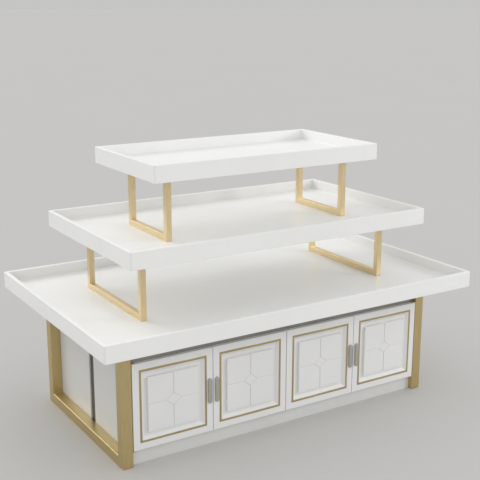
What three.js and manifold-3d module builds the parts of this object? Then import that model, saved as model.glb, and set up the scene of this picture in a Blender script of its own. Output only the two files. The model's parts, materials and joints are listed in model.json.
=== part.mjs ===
// Tiered display table: three open trays stacked on metal frames over a low cabinet with four panelled doors.
// Millimetres, +Z up, +X along the length, doors on the -Y side, origin on the floor under the centre.
import * as THREE from "three";
import { mergeVertices } from "three/addons/utils/BufferGeometryUtils.js";
import Module from "manifold-3d";

const wasm = await Module();
wasm.setup();

// Trays: the outside of the lowest, the step in of each one above, and the boards that they share.
const LOWER_LENGTH = 1800;
const LOWER_DEPTH = 1105;
const TIER_INSET_X = 174;
const TIER_INSET_Y = 134;
const TRAY_FLOOR = 25;
const TRAY_LIP = 46;
const RIM_BOARD = 18;
const TRAY_CORNER = 8;

// Support frames: closed rings of square tube, a pair under each upper tray, set in from its edges.
const TIER_RISE = 263;
const SUPPORT_TUBE = 25;
const MIDDLE_FRAME_INSET_X = 111.5;
const MIDDLE_FRAME_INSET_Y = 152;
const UPPER_FRAME_INSET_X = 97;
const UPPER_FRAME_INSET_Y = 108.5;
const UPPER_FRAME_FORWARD = 12;

// Base: two end frames with the cabinet between them, under the lowest tray's overhang.
const END_OVERHANG = 130;
const SIDE_OVERHANG = 159.5;
const BASE_TUBE = 46;
const BOARD = 18;
const FRIEZE = 91;
const FRIEZE_LAP = 11;
const END_STRIP = 46;
const END_STRIP_RECESS = 6;

// Doors: slabs with a metal bead, a channel round a raised field, and crossed grooves round a diamond.
const DOOR_BOTTOM = 68;
const DOOR_HEIGHT = 363;
const DOOR_THICKNESS = 20;
const DOOR_GAP = 3;
const DOOR_STANDOFF = 2;
const DOOR_EASING = 2;
const BEAD_MARGIN = 28.5;
const BEAD_WIDTH = 9;
const BEAD_DEPTH = 4;
const BEAD_PROUD = 1;
const CHANNEL_LEDGE = 1.5;
const CHANNEL_SLOPE = 12;
const CHANNEL_FLOOR = 15.5;
const CHANNEL_DEPTH = 10;
const GROOVE_WIDTH = 6;
const DIAMOND_HALF_WIDTH = 33;
const DIAMOND_HALF_HEIGHT = 26;

// Pulls: upright bars with round ends that stand on the doors' borders, beside their free edges.
const PULL_WIDTH = 17.5;
const PULL_HEIGHT = 108;
const PULL_PROUD = 9.5;
const PULL_EDGE = 15.5;
const PULL_DROP = 2;

// Pivots and magnetic catches.
const HINGE_INSET = 5;
const PIN_RADIUS = 2.5;
const PIN_LENGTH = 10;
const PIVOT_PLATE = 3;
const PIVOT_REACH = 8;
const PLATE_SETBACK = 1;
const CATCH_LENGTH = 56;
const CATCH_HEIGHT = 15;
const STRIKE_WIDTH = 22;
const STRIKE_HEIGHT = 11;
const STRIKE_THICKNESS = 1.5;

// Clearance round every piece that is let into another, or that turns in it.
const PLAY = 0.25;

// Sizes, heights and planes that follow from the sizes above.
const MIDDLE_LENGTH = LOWER_LENGTH - 2 * TIER_INSET_X;
const MIDDLE_DEPTH = LOWER_DEPTH - 2 * TIER_INSET_Y;
const UPPER_LENGTH = MIDDLE_LENGTH - 2 * TIER_INSET_X;
const UPPER_DEPTH = MIDDLE_DEPTH - 2 * TIER_INSET_Y;
const BASE_LENGTH = LOWER_LENGTH - 2 * END_OVERHANG;
const BASE_DEPTH = LOWER_DEPTH - 2 * SIDE_OVERHANG;
const DOOR_TOP = DOOR_BOTTOM + DOOR_HEIGHT;
const BASE_HEIGHT = DOOR_TOP + FRIEZE;
const TIER_STEP = TRAY_FLOOR + TIER_RISE;
const CABINET_END = BASE_LENGTH / 2 - BASE_TUBE;
const FRONT = BASE_DEPTH / 2;
const CABINET_FRONT = FRONT - DOOR_THICKNESS - DOOR_STANDOFF;
const CABINET_TOP = BASE_HEIGHT - BOARD;
const RAIL_BOTTOM = DOOR_TOP - FRIEZE_LAP;
const PLINTH_TOP = DOOR_BOTTOM - PLAY - PIVOT_PLATE;
const DECK_TOP = PLINTH_TOP + BOARD;
const DOOR_WIDTH = (2 * CABINET_END - 5 * DOOR_GAP) / 4;
const DOOR_PITCH = DOOR_WIDTH + DOOR_GAP;

const lacquer = () => new THREE.MeshStandardMaterial({ color: 0xeeede8, roughness: 0.4, metalness: 0 });
const gold = () => new THREE.MeshStandardMaterial({ color: 0xc8ab78, roughness: 0.35, metalness: 1 });
const grey = () => new THREE.MeshStandardMaterial({ color: 0x84837f, roughness: 0.6, metalness: 0 });
const steel = () => new THREE.MeshStandardMaterial({ color: 0x9a9995, roughness: 0.4, metalness: 1 });

// Coordinates lie on a fine grid that 32-bit numbers hold exactly, so that faces which touch share one plane.
const GRID_LINES_PER_MM = 64;
const onGrid = (value) => Math.round(value * GRID_LINES_PER_MM) / GRID_LINES_PER_MM;

const table = new THREE.Group();

function addMesh(group, name, geometry, finish) {
  const mesh = new THREE.Mesh(geometry, finish());
  mesh.name = name;
  group.add(mesh);
  return mesh;
}

// A box between two corners.
function boxGeometry(low, high) {
  const [x0, y0, z0] = low.map(onGrid);
  const [x1, y1, z1] = high.map(onGrid);
  const box = new THREE.BoxGeometry(x1 - x0, y1 - y0, z1 - z0);
  return box.translate((x0 + x1) / 2, (y0 + y1) / 2, (z0 + z1) / 2);
}

function addBoard(group, name, low, high, finish = lacquer) {
  return addMesh(group, name, boxGeometry(low, high), finish);
}

function toSolid(geometry) {
  const bare = geometry.clone().deleteAttribute("normal").deleteAttribute("uv");
  const merged = mergeVertices(bare, 1e-4);
  const vertProperties = merged.attributes.position.array;
  const triVerts = new Uint32Array(merged.index.array);
  return new wasm.Manifold(new wasm.Mesh({ numProp: 3, vertProperties, triVerts }));
}

function toGeometry(solid) {
  const { vertProperties, triVerts } = solid.getMesh();
  const geometry = new THREE.BufferGeometry();
  geometry.setAttribute("position", new THREE.BufferAttribute(vertProperties, 3));
  geometry.setIndex(new THREE.BufferAttribute(triVerts, 1));
  geometry.computeVertexNormals();
  return geometry;
}

const cut = (geometry, tools) =>
  toGeometry(tools.reduce((solid, tool) => solid.subtract(toSolid(tool)), toSolid(geometry)));

const join = (first, others) =>
  toGeometry(others.reduce((solid, other) => solid.add(toSolid(other)), toSolid(first)));

const extrude = (shape, depth, curveSegments = 6) =>
  new THREE.ExtrudeGeometry(shape, { depth, bevelEnabled: false, curveSegments });

// Turns an extrusion of an X-Z outline so that it starts on the plane y = 0 and runs towards +Y.
const towardsBack = (geometry, depth) => geometry.rotateX(Math.PI / 2).translate(0, depth, 0);

function rectangle(halfWidth, halfHeight, Outline = THREE.Shape) {
  const [w, h] = [halfWidth, halfHeight].map(onGrid);
  const corners = [[-w, -h], [w, -h], [w, h], [-w, h]];
  return new Outline(corners.map(([x, y]) => new THREE.Vector2(x, y)));
}

// A flat rectangular ring, as wide as `band`, in the outline's own plane.
function ringShape(halfWidth, halfHeight, band) {
  const ring = rectangle(halfWidth, halfHeight);
  ring.holes.push(rectangle(halfWidth - band, halfHeight - band, THREE.Path));
  return ring;
}

// A long board whose two corners on the -Y side are rounded, seen from above.
function roundedBoardShape(length, thickness, radius) {
  const [half, back] = [length / 2, thickness].map(onGrid);
  const shape = new THREE.Shape();
  shape.moveTo(-half, back);
  shape.lineTo(-half, radius);
  shape.absarc(radius - half, radius, radius, Math.PI, 1.5 * Math.PI, false);
  shape.absarc(half - radius, radius, radius, 1.5 * Math.PI, 2 * Math.PI, false);
  shape.lineTo(half, back);
  return shape;
}

// An upright bar with round ends.
function pillShape(width, height) {
  const radius = width / 2;
  const straight = height / 2 - radius;
  const shape = new THREE.Shape();
  shape.absarc(0, straight, radius, 0, Math.PI, false);
  shape.absarc(0, -straight, radius, Math.PI, 2 * Math.PI, false);
  return shape;
}

// An open tray standing on the height `bottom`: a floor board framed by four rim boards.
function addTray(name, length, depth, bottom) {
  const tray = new THREE.Group();
  tray.position.z = onGrid(bottom);
  const rimHeight = onGrid(TRAY_FLOOR + TRAY_LIP);
  const insideX = length / 2 - RIM_BOARD;
  const insideY = depth / 2 - RIM_BOARD;
  addBoard(tray, `${name}_floor`, [-insideX, -insideY, 0], [insideX, insideY, TRAY_FLOOR]);
  const corner = Math.min(TRAY_CORNER, RIM_BOARD);
  for (const [end, turn] of [["front", 0], ["back", Math.PI]]) {
    const rim = extrude(roundedBoardShape(length, RIM_BOARD, corner), rimHeight);
    rim.translate(0, onGrid(-depth / 2), 0).rotateZ(turn);
    addMesh(tray, `${name}_rim_${end}`, rim, lacquer);
  }
  addBoard(tray, `${name}_rim_left`, [-length / 2, -insideY, 0], [-insideX, insideY, rimHeight]);
  addBoard(tray, `${name}_rim_right`, [insideX, -insideY, 0], [length / 2, insideY, rimHeight]);
  table.add(tray);
}

// A pair of welded tube rings that stand across the length, with their outer faces `spread` apart.
function addFramePair(name, tube, spread, depth, height, bottom, forward = 0) {
  const ringTowardsX = new THREE.Matrix4().makeBasis(
    new THREE.Vector3(0, 1, 0),
    new THREE.Vector3(0, 0, 1),
    new THREE.Vector3(1, 0, 0),
  );
  const width = onGrid(tube);
  for (const [end, outerFace] of [["left", -spread / 2], ["right", spread / 2 - tube]]) {
    const ring = extrude(ringShape(depth / 2, height / 2, tube), width).applyMatrix4(ringTowardsX);
    const frame = addMesh(table, `${name}_frame_${end}`, ring, gold);
    frame.position.set(onGrid(outerFace), onGrid(-forward), onGrid(bottom) + onGrid(height / 2));
  }
}

// The plate that carries the two middle doors, below them (side -1) or above them (side 1).
const plateFace = (side) => (side < 0 ? DOOR_BOTTOM - PLAY : DOOR_TOP + PLAY);

function plateSpan(side, play = 0) {
  const face = plateFace(side);
  const far = face + side * PIVOT_PLATE;
  return [Math.min(face, far) - play, Math.max(face, far) + play];
}

const MIDDLE_PIN = DOOR_GAP / 2 + HINGE_INSET;
const MIDDLE_PLATE_HALF = MIDDLE_PIN + PIVOT_REACH;
const RAIL_BACK = CABINET_FRONT - BOARD;

// The room that a board needs for the middle plate.
function plateRecess(side) {
  const [low, high] = plateSpan(side, PLAY);
  const half = MIDDLE_PLATE_HALF + PLAY;
  return boxGeometry([-half, -FRONT, low], [half, PLAY - RAIL_BACK, high]);
}

function addCabinet() {
  const inner = CABINET_END - BOARD;
  const deck = boxGeometry([-inner, -CABINET_FRONT, PLINTH_TOP], [inner, CABINET_FRONT, DECK_TOP]);
  addMesh(table, "bottom_deck", cut(deck, [plateRecess(-1)]), lacquer);
  const topLow = [-CABINET_END, -CABINET_FRONT, CABINET_TOP];
  addBoard(table, "cabinet_top", topLow, [CABINET_END, CABINET_FRONT, BASE_HEIGHT]);
  const half = BOARD / 2;
  addBoard(table, "centre_partition", [-half, -RAIL_BACK, DECK_TOP], [half, RAIL_BACK, CABINET_TOP]);

  for (const [end, y0] of [["front", -CABINET_FRONT], ["back", RAIL_BACK]]) {
    const y1 = y0 + BOARD;
    addBoard(table, `plinth_${end}`, [-CABINET_END, y0, 0], [CABINET_END, y1, PLINTH_TOP]);
    const rail = boxGeometry([-CABINET_END, y0, RAIL_BOTTOM], [CABINET_END, y1, CABINET_TOP]);
    const slots = end === "front" ? [plateRecess(1)] : [];
    addMesh(table, `frieze_${end}`, cut(rail, slots), grey);
  }
  for (const [end, side] of [["left", -1], ["right", 1]]) {
    addCabinetEnd(end, side);
  }
}

// One end of the cabinet: two white panels with a grey recessed strip between them, and a fixed back panel.
function addCabinetEnd(end, side) {
  const spanX = (near, far) => [Math.min(side * near, side * far), Math.max(side * near, side * far)];
  const inner = CABINET_END - BOARD;
  const [x0, x1] = spanX(inner, CABINET_END);
  const half = END_STRIP / 2;
  addBoard(table, `end_panel_${end}_front`, [x0, -RAIL_BACK, 0], [x1, -half, CABINET_TOP]);
  addBoard(table, `end_panel_${end}_back`, [x0, half, 0], [x1, RAIL_BACK, CABINET_TOP]);
  const [s0, s1] = spanX(inner, CABINET_END - END_STRIP_RECESS);
  addBoard(table, `end_strip_${end}`, [s0, -half, 0], [s1, half, CABINET_TOP], grey);
  const [b0, b1] = spanX(DOOR_GAP / 2, CABINET_END - DOOR_GAP);
  const back = CABINET_FRONT + DOOR_THICKNESS;
  addBoard(table, `back_panel_${end}`, [b0, CABINET_FRONT, DOOR_BOTTOM], [b1, back, DOOR_TOP]);
}

// Half the width and half the height of the field inside the channel.
function fieldHalves(width, height) {
  const margin = BEAD_MARGIN + BEAD_WIDTH + CHANNEL_LEDGE + CHANNEL_SLOPE + CHANNEL_FLOOR;
  return [width / 2 - margin, height / 2 - margin];
}

// The channel's cutter: a block whose sides slope in towards its back, less the field that stays standing.
function channelCutter(width, height) {
  const block = new THREE.BoxGeometry(1, 1, 1);
  const opening = BEAD_MARGIN + BEAD_WIDTH + CHANNEL_LEDGE;
  const position = block.attributes.position;
  for (let i = 0; i < position.count; i += 1) {
    const isFront = position.getY(i) < 0;
    const margin = isFront ? opening : opening + CHANNEL_SLOPE;
    const x = position.getX(i) * (width - 2 * margin);
    const z = position.getZ(i) * (height - 2 * margin);
    position.setXYZ(i, x, isFront ? 0 : CHANNEL_DEPTH, z + height / 2);
  }
  const [halfWidth, halfHeight] = fieldHalves(width, height);
  const low = [-halfWidth, -CHANNEL_DEPTH, height / 2 - halfHeight];
  const high = [halfWidth, 2 * CHANNEL_DEPTH, height / 2 + halfHeight];
  return cut(block, [boxGeometry(low, high)]);
}

// A V-shaped groove in the field between two points of the door's face.
function grooveCutter(start, end) {
  const along = new THREE.Vector2().subVectors(end, start);
  const side = GROOVE_WIDTH / Math.SQRT2;
  const bar = new THREE.BoxGeometry(along.length(), side, side).rotateX(Math.PI / 4);
  bar.rotateY(-along.angle());
  return bar.translate((start.x + end.x) / 2, 0, (start.y + end.y) / 2);
}

// Four straight grooves run in from the channel, and four short ones draw the diamond.
function grooveCutters(width, height) {
  const diamond = [DIAMOND_HALF_WIDTH, DIAMOND_HALF_HEIGHT];
  const past = fieldHalves(width, height).map((half) => half + CHANNEL_FLOOR / 2);
  const cutters = [];
  for (let quarter = 0; quarter < 4; quarter += 1) {
    const point = (turn, [reachX, reachZ]) => {
      const angle = ((quarter + turn) * Math.PI) / 2;
      return new THREE.Vector2(reachX * Math.cos(angle), height / 2 + reachZ * Math.sin(angle));
    };
    cutters.push(grooveCutter(point(0, diamond), point(0, past)));
    cutters.push(grooveCutter(point(0, diamond), point(1, diamond)));
  }
  return cutters;
}

// A pin or its hole, standing on the height `bottom`.
const pinGeometry = (radius, x, y, bottom, top) =>
  new THREE.CylinderGeometry(radius, radius, top - bottom, 16)
    .rotateX(Math.PI / 2)
    .translate(x, y, (bottom + top) / 2);

// One door, drawn from the middle of its lower front edge, with its pins on the left (hinge -1) or right (1).
function addDoor(name, middleX, hinge) {
  const door = new THREE.Group();
  door.position.set(onGrid(middleX), onGrid(-FRONT), onGrid(DOOR_BOTTOM));
  const [width, height] = [DOOR_WIDTH, DOOR_HEIGHT].map(onGrid);
  const pinX = hinge * (width / 2 - HINGE_INSET);
  const pullX = -hinge * (width / 2 - PULL_EDGE);
  const strikeMiddle = [pullX, DOOR_THICKNESS - STRIKE_THICKNESS / 2, height - FRIEZE_LAP - CATCH_HEIGHT / 2];

  const slab = extrude(roundedBoardShape(width, DOOR_THICKNESS, DOOR_EASING), height);
  const beadHalf = [width / 2 - BEAD_MARGIN, height / 2 - BEAD_MARGIN];
  const beadRing = (play, depth) => {
    const shape = ringShape(beadHalf[0] + play, beadHalf[1] + play, BEAD_WIDTH + 2 * play);
    return towardsBack(extrude(shape, depth), depth).translate(0, 0, height / 2);
  };
  const strike = (play) => {
    const half = [STRIKE_WIDTH / 2 + play, STRIKE_THICKNESS / 2, STRIKE_HEIGHT / 2 + play];
    const corner = (side) => strikeMiddle.map((middle, axis) => middle + side * half[axis]);
    return boxGeometry(corner(-1), corner(1));
  };
  const holeDepth = PIN_LENGTH + 2 * PLAY;
  const holes = [[0, holeDepth], [height - holeDepth, height]].map(([bottom, top]) =>
    pinGeometry(PIN_RADIUS + PLAY, pinX, HINGE_INSET, bottom, top),
  );
  const cutters = [
    channelCutter(width, height),
    ...grooveCutters(width, height),
    beadRing(PLAY, BEAD_DEPTH + PLAY),
    strike(PLAY),
    ...holes,
  ];
  addMesh(door, `${name}_slab`, cut(slab, cutters), lacquer);

  const bead = beadRing(0, BEAD_DEPTH + BEAD_PROUD).translate(0, -BEAD_PROUD, 0);
  addMesh(door, `${name}_bead`, bead, gold);
  const pull = towardsBack(extrude(pillShape(PULL_WIDTH, PULL_HEIGHT), PULL_PROUD), PULL_PROUD);
  pull.translate(pullX, -PULL_PROUD, height / 2 - PULL_DROP);
  addMesh(door, `${name}_pull`, pull, steel);
  addMesh(door, `${name}_strike`, strike(0), steel);
  table.add(door);
}

// Plates with upright pins on which the doors turn, below the doors (side -1) and above them (side 1).
function addPivots() {
  const plateFront = PLATE_SETBACK - FRONT;
  const lugBack = DOOR_THICKNESS - PLATE_SETBACK - FRONT;
  const pinY = HINGE_INSET - FRONT;
  for (const [place, side] of [["bottom", -1], ["top", 1]]) {
    const [low, high] = plateSpan(side);
    const face = plateFace(side);
    const pinEnds = [face + (side * PIVOT_PLATE) / 2, face - side * PIN_LENGTH];
    const pin = (x) => pinGeometry(PIN_RADIUS, x, pinY, Math.min(...pinEnds), Math.max(...pinEnds));
    for (const [end, sign] of [["left", -1], ["right", 1]]) {
      const pinX = sign * (CABINET_END - DOOR_GAP - HINGE_INSET);
      const [x0, x1] = [sign * CABINET_END, pinX - sign * PIVOT_REACH].sort((a, b) => a - b);
      const lug = boxGeometry([x0, plateFront, low], [x1, lugBack, high]);
      addMesh(table, `pivot_${end}_${place}`, join(lug, [pin(pinX)]), gold);
    }
    const plate = boxGeometry([-MIDDLE_PLATE_HALF, plateFront, low], [MIDDLE_PLATE_HALF, -RAIL_BACK, high]);
    addMesh(table, `pivot_middle_${place}`, join(plate, [pin(-MIDDLE_PIN), pin(MIDDLE_PIN)]), steel);
  }
}

// Double magnetic catches under the front rail, one behind each pair of doors that meet.
function addCatches() {
  const front = PLAY + DOOR_THICKNESS - FRONT;
  for (const [end, side] of [["left", -1], ["right", 1]]) {
    const low = [side * DOOR_PITCH - CATCH_LENGTH / 2, front, RAIL_BOTTOM - CATCH_HEIGHT];
    const high = [side * DOOR_PITCH + CATCH_LENGTH / 2, -RAIL_BACK, RAIL_BOTTOM];
    addBoard(table, `magnetic_catch_${end}`, low, high, grey);
  }
}

addFramePair("base", BASE_TUBE, BASE_LENGTH, BASE_DEPTH, BASE_HEIGHT, 0);
addCabinet();
addPivots();
addCatches();
addDoor("door_left_outer", -1.5 * DOOR_PITCH, -1);
addDoor("door_left_inner", -0.5 * DOOR_PITCH, 1);
addDoor("door_right_inner", 0.5 * DOOR_PITCH, -1);
addDoor("door_right_outer", 1.5 * DOOR_PITCH, 1);

const lowerFloor = BASE_HEIGHT + TRAY_FLOOR;
const middleFloor = lowerFloor + TIER_STEP;
const middleSpread = MIDDLE_LENGTH - 2 * MIDDLE_FRAME_INSET_X;
const middleReach = MIDDLE_DEPTH - 2 * MIDDLE_FRAME_INSET_Y;
const upperSpread = UPPER_LENGTH - 2 * UPPER_FRAME_INSET_X;
const upperReach = UPPER_DEPTH - 2 * UPPER_FRAME_INSET_Y;
addTray("lower_tray", LOWER_LENGTH, LOWER_DEPTH, BASE_HEIGHT);
addFramePair("middle", SUPPORT_TUBE, middleSpread, middleReach, TIER_RISE, lowerFloor);
addTray("middle_tray", MIDDLE_LENGTH, MIDDLE_DEPTH, lowerFloor + TIER_RISE);
addFramePair("upper", SUPPORT_TUBE, upperSpread, upperReach, TIER_RISE, middleFloor, UPPER_FRAME_FORWARD);
addTray("upper_tray", UPPER_LENGTH, UPPER_DEPTH, middleFloor + TIER_RISE);

export default table;
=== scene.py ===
# %% [markdown]
# # A tiered display table
# This lesson dresses a shop's display table: three white lacquered trays that step back as they rise,
# carried by rings of gold tube over a low cabinet with four panelled doors. The solids that move and
# carry load are already made and packed, so the script only loads them and builds finished surfaces in
# the same places. X runs along the table, Y from its front to its back, and Z up.

# %% Load the frame
import json
import math

import bmesh
import bpy
from mathutils import Matrix, Vector


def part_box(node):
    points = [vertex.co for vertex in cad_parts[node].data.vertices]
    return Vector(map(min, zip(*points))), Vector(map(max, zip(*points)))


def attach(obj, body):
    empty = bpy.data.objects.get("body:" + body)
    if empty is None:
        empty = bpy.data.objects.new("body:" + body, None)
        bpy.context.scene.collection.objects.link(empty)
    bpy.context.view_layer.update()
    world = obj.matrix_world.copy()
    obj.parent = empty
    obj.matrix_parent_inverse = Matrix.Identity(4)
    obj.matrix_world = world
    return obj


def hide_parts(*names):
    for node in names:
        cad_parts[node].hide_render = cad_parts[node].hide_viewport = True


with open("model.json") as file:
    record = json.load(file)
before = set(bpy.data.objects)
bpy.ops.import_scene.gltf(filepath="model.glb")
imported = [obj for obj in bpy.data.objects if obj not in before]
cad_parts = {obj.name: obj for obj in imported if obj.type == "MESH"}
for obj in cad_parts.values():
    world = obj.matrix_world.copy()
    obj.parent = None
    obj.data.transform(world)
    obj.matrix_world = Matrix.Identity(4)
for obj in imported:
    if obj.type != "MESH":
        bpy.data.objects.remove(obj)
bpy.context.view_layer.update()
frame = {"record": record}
MM = 0.001
X, Y, Z = range(3)
LEFT, RIGHT = (-1, 0, 0), (1, 0, 0)
FRONT, BACK = (0, -1, 0), (0, 1, 0)
DOWN, UP = (0, 0, -1), (0, 0, 1)

# %% [markdown]
# ## Blocks
# Nearly every piece here starts as a sawn board or a length of tube, so the first helpers add a block
# between two corners and pick the faces that look in a direction. The corners could be typed in, but
# they are read from the CAD solids, so each finished piece fits where its solid was.

# %% Blocks and faces
SAME_WAY = 0.99


def span(*nodes):
    """The lowest and highest corner of several CAD nodes together."""
    boxes = [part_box(node) for node in nodes]
    low = Vector([min(box[0][axis] for box in boxes) for axis in (X, Y, Z)])
    high = Vector([max(box[1][axis] for box in boxes) for axis in (X, Y, Z)])
    return low, high


def add_block(bm, low, high):
    """Adds a box between two corners."""
    place = Matrix.Translation((low + high) / 2) @ Matrix.Diagonal((*(high - low), 1))
    bmesh.ops.create_cube(bm, size=1, matrix=place)


def facing(bm, direction):
    """The faces that look along a direction."""
    bm.normal_update()
    return [face for face in bm.faces if face.normal.dot(Vector(direction)) > SAME_WAY]


print("block helpers ready")

# %% [markdown]
# ## Edges
# A real edge is never razor sharp: sandpaper eases it before lacquering, and the thin highlight along it
# is what makes a board look solid. A Bevel modifier could ease all the edges of a piece alike. The bevel
# operator takes a list of edges instead, so these helpers pick them by how far they turn, how they run
# and where they lie.

# %% Edges
SAME_LEVEL = 0.05 * MM
STRAIGHT = 0.999


def round_edges(bm, edges, radius, segments):
    """Rounds the given edges."""
    settings = {"affect": "EDGES", "profile": 0.5, "material": -1, "clamp_overlap": True}
    return bmesh.ops.bevel(bm, geom=edges, offset=radius, segments=segments, **settings)


def sharp_edges(bm, sharper_than=35):
    """The edges that turn by more than an angle in degrees."""
    bm.normal_update()
    limit = math.radians(sharper_than)
    return [edge for edge in bm.edges if edge.is_manifold and edge.calc_face_angle() > limit]


def ease(bm, radius, segments=3):
    """Rounds every sharp edge."""
    round_edges(bm, sharp_edges(bm), radius, segments)


def runs_along(edge, axis):
    """Whether an edge runs along an axis."""
    run = edge.verts[1].co - edge.verts[0].co
    return abs(run[axis]) > STRAIGHT * run.length


def lies_at(edge, axis, level):
    """Whether both ends of an edge lie at a level along an axis."""
    return all(abs(vert.co[axis] - level) < SAME_LEVEL for vert in edge.verts)


print("edge helpers ready")

# %% [markdown]
# ## From a mesh to a piece
# A finished piece needs the same few steps each time: turn the bmesh into an object, smooth its rounded
# edges but keep its flats flat, give it its finish, and say which body it rides on and which CAD solids
# it stands for. Smooth shading alone would bend the light across the flats, so a Weighted Normal
# modifier follows it: large faces win, and a flat board stays flat right up to its edge.


# %% Make a piece
def make_piece(name, bm, finishes, body, slot, *nodes, crease=50):
    """Turns a bmesh into a piece that rides on a body, in place of some CAD nodes."""
    mesh = bpy.data.meshes.new(name)
    for face in bm.faces:
        face.smooth = True
    bm.to_mesh(mesh)
    bm.free()
    mesh.set_sharp_from_angle(angle=math.radians(crease))
    for finish in finishes:
        mesh.materials.append(finish)
    piece = bpy.data.objects.new(name, mesh)
    bpy.context.scene.collection.objects.link(piece)
    normals = piece.modifiers.new("flat boards, round edges", "WEIGHTED_NORMAL")
    normals.keep_sharp = True
    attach(piece, body)
    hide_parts(*nodes)
    print(f"{name}: {len(mesh.polygons)} faces for {len(nodes)} CAD nodes")


print("piece helper ready")

# %% [markdown]
# ## Finishes
# Each finish is a Principled shader with a little of what a real surface has: a colour that drifts, a
# gloss that is not even, and a fine relief. Painted pictures could give all three, but noise that reads
# Object coordinates, in metres, keeps its real size on every piece. Colours are written as on a paint
# chart, from 0 to 255, and a helper turns them into the linear light that a shader takes.


# %% Finish and noise
def new_finish(name, **sockets):
    """A new material whose constant sockets are set on the shader itself."""
    material = bpy.data.materials.new(name)
    material.use_nodes = True
    shader = material.node_tree.nodes["Principled BSDF"]
    for socket, value in sockets.items():
        shader.inputs[socket.replace("_", " ")].default_value = value
    return material, material.node_tree, shader


def noise(tree, scale, stretch=(1, 1, 1), detail=3.0):
    """Noise with `scale` cells to the metre, read from Object coordinates."""
    place = tree.nodes.new("ShaderNodeTexCoord")
    mapping = tree.nodes.new("ShaderNodeMapping")
    mapping.inputs["Scale"].default_value = stretch
    texture = tree.nodes.new("ShaderNodeTexNoise")
    texture.inputs["Scale"].default_value = scale
    texture.inputs["Detail"].default_value = detail
    tree.links.new(place.outputs["Object"], mapping.inputs["Vector"])
    tree.links.new(mapping.outputs["Vector"], texture.inputs["Vector"])
    return texture.outputs["Fac"]


def linear(red, green, blue):
    """A colour from a paint chart, by the sRGB curve, in the linear values that a shader takes."""
    return tuple(((v / 255 + 0.055) / 1.055) ** 2.4 for v in (red, green, blue))


print("finish helpers ready")

# %% [markdown]
# Noise seldom leaves the middle of its range, so the first two helpers here spread that middle over the
# whole drift, from one colour to another or from smooth to rough. The third turns noise into bumps of a
# real height.

# %% Drift and relief
NOISE_LOW = 0.3
NOISE_HIGH = 0.7


def colour_drift(tree, shader, pattern, dark, light):
    """Base colour that drifts between two colours with a pattern."""
    ramp = tree.nodes.new("ShaderNodeValToRGB")
    ends = ((NOISE_LOW, dark), (NOISE_HIGH, light))
    for element, (position, colour) in zip(ramp.color_ramp.elements, ends):
        element.position = position
        element.color = (*colour, 1)
    tree.links.new(pattern, ramp.inputs["Fac"])
    tree.links.new(ramp.outputs["Color"], shader.inputs["Base Color"])


def gloss_drift(tree, shader, pattern, smooth, rough):
    """Roughness that drifts between two values with a pattern."""
    spread = tree.nodes.new("ShaderNodeMapRange")
    spread.inputs["From Min"].default_value = NOISE_LOW
    spread.inputs["From Max"].default_value = NOISE_HIGH
    spread.inputs["To Min"].default_value = smooth
    spread.inputs["To Max"].default_value = rough
    tree.links.new(pattern, spread.inputs["Value"])
    tree.links.new(spread.outputs["Result"], shader.inputs["Roughness"])


def relief(tree, shader, pattern, height):
    """Fine bumps of a height in metres."""
    bump = tree.nodes.new("ShaderNodeBump")
    bump.inputs["Strength"].default_value = 1.0
    bump.inputs["Distance"].default_value = height
    tree.links.new(pattern, bump.inputs["Height"])
    tree.links.new(bump.outputs["Normal"], shader.inputs["Normal"])


print("drift helpers ready")

# %% [markdown]
# ### Satin white lacquer
# The boards are fibreboard under sprayed satin lacquer. Spraying leaves a faint orange peel, waves of two
# or three millimetres that only show in the highlights, and handling polishes some patches more than
# others. A flat white would look like paper, so three noises of very different sizes do one job each. The
# powder coat on the middle pivot plates has the same peel, so the same recipe makes it, in a light grey.

# %% White lacquer
LACQUER_SHEEN = 0.45
LACQUER_GLOSS = (0.34, 0.46)
TINT_SCALE = 2.2
HANDLING_SCALE = 9
PEEL_SCALE = 420
PEEL_HEIGHT = 0.04 * MM


def white_lacquer(name, dark, light):
    """Sprayed satin lacquer between two whites."""
    material, tree, shader = new_finish(name, Specular_IOR_Level=LACQUER_SHEEN)
    colour_drift(tree, shader, noise(tree, TINT_SCALE), dark, light)
    gloss_drift(tree, shader, noise(tree, HANDLING_SCALE, detail=5), *LACQUER_GLOSS)
    relief(tree, shader, noise(tree, PEEL_SCALE, detail=2), PEEL_HEIGHT)
    return material


TRAY_WHITE = white_lacquer("satin_white_tray", linear(243, 243, 241), linear(247, 247, 245))
DOOR_WHITE = white_lacquer("satin_white_door", linear(235, 235, 234), linear(240, 240, 239))
# The cabinet's white is the same lacquer as the doors' and trays', painted darker: painted shade for
# boards that sit under the tray's overhang.
SHADED_CABINET_WHITE = white_lacquer("satin_white_cabinet_shaded", linear(219, 219, 216), linear(225, 225, 222))
PLATE_COAT = white_lacquer("coated_plate", linear(203, 203, 199), linear(210, 210, 206))
print("three whites, and a powder coat for steel plates")

# %% [markdown]
# In the milled channels of the doors the white is painted darker where the door's own hollows would
# shade it: this is painted shade. An Ambient Occlusion node that looks only at the door itself finds such
# hollows, and a Mix node darkens the colour that is already there.

# %% Painted shade in hollows
HOLLOW_SHADE_REACH = 14 * MM
HOLLOW_SHADE_TINT = linear(214, 213, 209)


def paint_shade_in_hollows(material):
    """Paints shade into a finish's colour where the piece's own hollows would shade it."""
    tree = material.node_tree
    shader = tree.nodes["Principled BSDF"]
    plain = shader.inputs["Base Color"].links[0].from_socket
    hollows = tree.nodes.new("ShaderNodeAmbientOcclusion")
    hollows.only_local = True
    hollows.inputs["Distance"].default_value = HOLLOW_SHADE_REACH
    mix = tree.nodes.new("ShaderNodeMix")
    mix.data_type = "RGBA"
    mix.inputs["A"].default_value = (*HOLLOW_SHADE_TINT, 1)
    tree.links.new(hollows.outputs["AO"], mix.inputs["Factor"])
    tree.links.new(plain, mix.inputs["B"])
    tree.links.new(mix.outputs["Result"], shader.inputs["Base Color"])
    print(material.name, "dulled in its hollows")


# The door white takes painted shade in its milled hollows.
paint_shade_in_hollows(DOOR_WHITE)
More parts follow.
